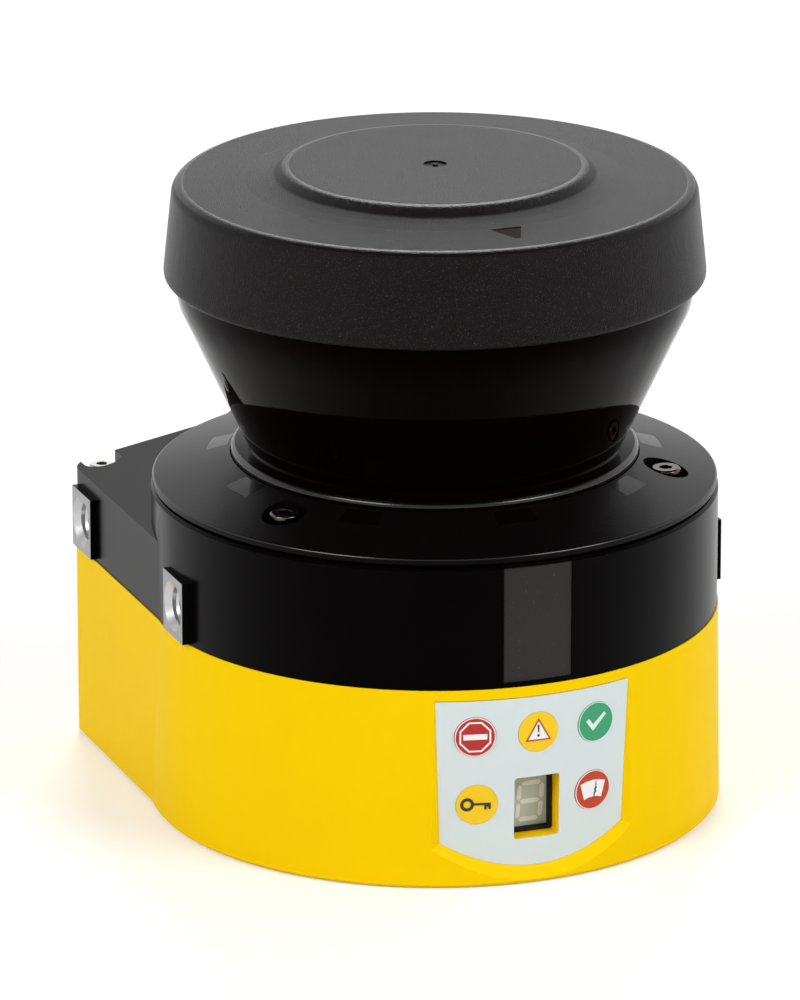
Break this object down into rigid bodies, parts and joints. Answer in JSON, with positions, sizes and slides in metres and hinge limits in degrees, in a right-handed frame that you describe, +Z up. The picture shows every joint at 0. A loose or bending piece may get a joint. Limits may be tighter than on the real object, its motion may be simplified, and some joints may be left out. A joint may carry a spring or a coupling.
{
  "type": "safety laser scanner",
  "caption": "Compact safety laser scanner: yellow housing with status panel, black frame with side mounting threads, conical black window and round cap.",
  "frame": {"origin": "on the base plane, under the axis about which the scan mirror turns", "axes": "+Z up along the scan axis; -Y towards the front with the status panel; +Y towards the connector recess; +X to the right of the panel as seen from behind the scanner"},
  "size_m": [0.102, 0.105, 0.116],
  "materials": {
    "yellow_coat": "smooth semi-gloss powder coat",
    "black_coat": "semi-gloss black coat, machined faces left bare",
    "inlay": "matte",
    "cover_plastic": "fine matte",
    "window_gloss": "polished, dark to the eye, clear to infrared",
    "cap_plastic": "fine grained matte",
    "seal_rubber": "matte",
    "screw_steel": "zinc plated",
    "panel_print": "satin printed film",
    "stop_red": "clear coloured",
    "warning_yellow": "clear coloured",
    "clear_green": "clear coloured",
    "restart_yellow": "clear coloured",
    "service_red": "clear coloured",
    "display_face": "grey face with pale segments",
    "board_green": "solder resist",
    "led_white": "clear",
    "clear_plastic": "clear",
    "machined_aluminium": "machined",
    "bearing_steel": "ground",
    "stator_steel": "stacked sheet",
    "copper_wire": "enamelled copper wire",
    "magnet": "sintered",
    "black_anodised": "black anodised",
    "mirror_coat": "front-coated",
    "encoder_metal": "etched sheet",
    "black_component": "moulded",
    "lens_glass": "polished",
    "brass_part": "turned",
    "nickel": "nickel plated",
    "insert_plastic": "moulded",
    "gold_contact": "gold plated"
  },
  "bodies": {
    "housing": {"lower_housing": "yellow_coat", "upper_frame": "black_coat", "front_inlay": "inlay", "housing_gasket": "seal_rubber", "optics_cover": "cover_plastic", "cover_gasket": "seal_rubber", "dirt_windows": "window_gloss", "dirt_sensors": "black_component", "cover_screws": "screw_steel", "rear_screws": "screw_steel", "base_screws": "screw_steel", "plate_screws": "screw_steel", "chassis_screws": "screw_steel", "optics_window": "window_gloss", "window_seal": "seal_rubber", "top_cap": "cap_plastic", "cap_gasket": "seal_rubber", "panel_film": "panel_print", "stop_lens": "stop_red", "warning_lens": "warning_yellow", "clear_lens": "clear_green", "restart_lens": "restart_yellow", "service_lens": "service_red", "display_module": "display_face", "status_board": "board_green", "status_leds": "led_white", "light_guides": "clear_plastic", "motor_plate": "machined_aluminium", "motor_bearings": "bearing_steel", "motor_stator": "stator_steel", "motor_coils": "copper_wire", "encoder_reader": "black_component", "optics_chassis": "black_anodised", "receiving_lens": "lens_glass", "laser_tube": "brass_part", "laser_diode": "brass_part", "detector_board": "board_green", "detector_diode": "black_component", "main_board": "board_green", "main_components": "black_component", "board_spacers": "brass_part", "power_board": "board_green", "power_components": "black_component", "m12_shell": "nickel", "m12_insert": "insert_plastic", "m12_contacts": "gold_contact", "m12_nut": "nickel", "m8_shell": "nickel", "m8_insert": "insert_plastic", "m8_contacts": "gold_contact", "m8_nut": "nickel"},
    "rotor": {"motor_shaft": "bearing_steel", "rotor_bell": "machined_aluminium", "rotor_magnet": "magnet", "mirror_carrier": "black_anodised", "scan_mirror": "mirror_coat", "encoder_disc": "encoder_metal"}
  },
  "joints": [
    {"name": "mirror_spin", "type": "hinge", "parent": "housing", "child": "rotor", "pos_m": [0, 0, 0.09], "axis": [0, 0, 1], "continuous": true}
  ]
}
